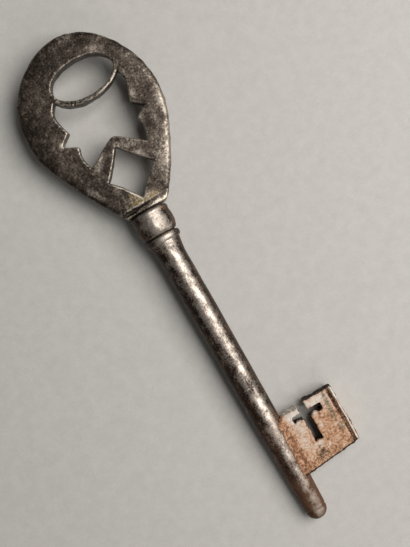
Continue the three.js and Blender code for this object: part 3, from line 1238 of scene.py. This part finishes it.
@dataclass
class BrazedSeams:
    """The visible spelter: two seams in the collar, and a fillet on each face of the bit under its rust."""

    placement: Placement
    seam_voxel_mm: float = 0.11
    fillet_voxel_mm: float = 0.08

    def build(self, spelter: Material, rusted: Material) -> list[Object]:
        """Builds the two seams and the two fillets.

        Args:
            spelter: The finish of the seams.
            rusted: The finish of the fillets.

        Returns:
            The four pieces.
        """
        made = []
        for number, name in enumerate(("bow_braze", "collar_braze")):
            seam = Skin(name, self.placement, self.seam_voxel_mm)
            seam.round_edges(2)
            seam.press(lumps(1.1, 0.07, seed=number + 0.5))
            made.append(seam.finish(spelter))
        for number, name in enumerate(("bit_braze_front", "bit_braze_back")):
            fillet = Skin(name, self.placement, self.fillet_voxel_mm)
            fillet.round_edges(2)
            fillet.press(lumps(1.6, 0.06, seed=number + 5.5))
            fillet.traits[Trait.RUST] = lambda point: 0.85 + 0.3 * noise.noise(point / 2.5)
            made.append(fillet.finish(rusted))
        return made


@dataclass(frozen=True)
class Softbox:
    """A rectangular lamp that faces the key.

    Args:
        name: Its name.
        direction: Where it stands, as photograph right, up and outward.
        distance: Metres from the key.
        size: Its width and height in metres.
        power: Watts.
    """

    name: str
    direction: Triple
    distance: float
    size: Pair
    power: float


@dataclass
class Studio:
    """The card, the lamps and the camera.

    The key rests on its bulb and its tip, so the card rises a little towards the tip, and the camera looks
    straight down on the card, as in the photograph.
    """

    placement: Placement
    view_middle: Triple = (5.7, -24.0, 0.0)
    camera_height_mm: float = 234.0
    focal_pixels: float = 800.0
    lean_degrees: float = 29.6
    sensor_mm: float = 24.0
    nearest_m: float = 0.01
    card_size_m: float = 1.6
    card_cells: int = 8
    tip_radius_mm: float = 3.15
    world_colour: str = "#e4e6e8"
    world_strength: float = 0.05
    softboxes: tuple[Softbox, ...] = (
        Softbox("softbox_right", (0.51, 0.21, 0.82), distance=0.55, size=(0.52, 0.44), power=3.8),
        Softbox("softbox_low", (0.45, -0.70, 0.60), distance=0.7, size=(0.25, 0.25), power=0.5),
    )

    def slope(self) -> float:
        """Finds how much the card rises towards the tip, where bulb and tip rest on it.

        Returns:
            The angle in radians.
        """
        bulb_low, bulb_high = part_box("bulb_collar")
        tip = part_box("shank")[0].y + self.tip_radius_mm * MM
        bulb_radius = (bulb_high.z - bulb_low.z) / 2
        return math.atan2(bulb_radius - self.tip_radius_mm * MM, (bulb_low.y + bulb_high.y) / 2 - tip)

    def level(self) -> Matrix:
        """Finds the place and the slope of the card.

        Returns:
            The matrix that takes a level card at the bulb's foot to the sloping one.
        """
        bulb_low, bulb_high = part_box("bulb_collar")
        foot = Vector((self.placement.axis_x, (bulb_low.y + bulb_high.y) / 2, bulb_low.z))
        return Matrix.Translation(foot) @ Matrix.Rotation(-self.slope(), 4, "X")

    def lay_card(self, material: Material) -> None:
        """Lays the card under the key.

        Args:
            material: Its finish.
        """
        work = bmesh.new()
        cells = self.card_cells
        bmesh.ops.create_grid(work, x_segments=cells, y_segments=cells, size=self.card_size_m / 2)
        bmesh.ops.transform(work, matrix=self.level(), verts=work.verts)
        mesh = bpy.data.meshes.new("card")
        work.to_mesh(mesh)
        work.free()
        mesh.materials.append(material)
        card = add_object("card", mesh)

    def axes(self) -> tuple[Vector, Vector, Vector]:
        """Finds how the photograph lies in the frame.

        Returns:
            Its right, up and outward directions.
        """
        outward = (self.level().to_3x3() @ Vector((0, 0, 1))).normalized()
        lean = math.radians(self.lean_degrees)
        up = outward.cross(Vector((math.cos(lean), -math.sin(lean), 0))).normalized()
        return up.cross(outward).normalized(), up, outward

    def target(self) -> Vector:
        """Returns the point of the key's level that the camera looks at."""
        return self.placement.frame_from_key @ Vector(self.view_middle)

    def set_camera(self) -> None:
        """Places the camera straight above the card, leaning as the photograph does."""
        right, up, outward = self.axes()
        data = bpy.data.cameras.new("camera")
        data.sensor_fit = "VERTICAL"
        data.sensor_height = self.sensor_mm
        data.lens = self.sensor_mm * self.focal_pixels / PHOTO_HEIGHT
        data.clip_start = self.nearest_m
        camera = add_object("camera", data)
        turn = Matrix((right, up, outward)).transposed().to_4x4()
        camera.matrix_world = Matrix.Translation(self.target() + outward * self.camera_height_mm * MM) @ turn
        bpy.context.scene.camera = camera

    def hang(self, softbox: Softbox) -> None:
        """Hangs one softbox.

        Args:
            softbox: The lamp and its place.
        """
        right, up, outward = self.axes()
        x, y, z = softbox.direction
        towards = (right * x + up * y + outward * z).normalized()
        data = bpy.data.lights.new(softbox.name, "AREA")
        data.shape = "RECTANGLE"
        data.size, data.size_y = softbox.size
        data.energy = softbox.power
        turn = towards.to_track_quat("Z", "Y").to_matrix().to_4x4()
        lamp = add_object(softbox.name, data)
        lamp.matrix_world = Matrix.Translation(self.target() + towards * softbox.distance) @ turn

    def set_world(self) -> None:
        """Fills the shadows with an even world light."""
        world = bpy.data.worlds.new("studio")
        world.use_nodes = True
        background = world.node_tree.nodes["Background"]
        background.inputs["Color"].default_value = linear(self.world_colour)
        background.inputs["Strength"].default_value = self.world_strength
        bpy.context.scene.world = world

    def build(self) -> None:
        """Sets up the whole studio."""
        self.lay_card(PALE_CARD.build())
        self.set_camera()
        for softbox in self.softboxes:
            self.hang(softbox)
        self.set_world()
        bpy.context.scene.view_settings.view_transform = "Standard"
        log.info("studio: %d lamps, card slope %.2f degrees", len(self.softboxes), math.degrees(self.slope()))


def main() -> None:
    """Builds the studio and then every piece of the key."""
    logging.basicConfig(level=logging.INFO, format="%(message)s")
    placement = Placement.read()
    Studio(placement).build()
    forged = FORGED_IRON.build()
    polished = POLISHED_IRON.build()
    rusted = RUSTED_IRON.build()
    spelter = BRAZING_SPELTER.build()
    Bow(placement).build(forged)
    Collar(placement).build(polished)
    Shank(placement).build(polished)
    Bit(placement).build(rusted)
    BrazedSeams(placement).build(spelter, rusted)


if __name__ == "__main__":
    main()
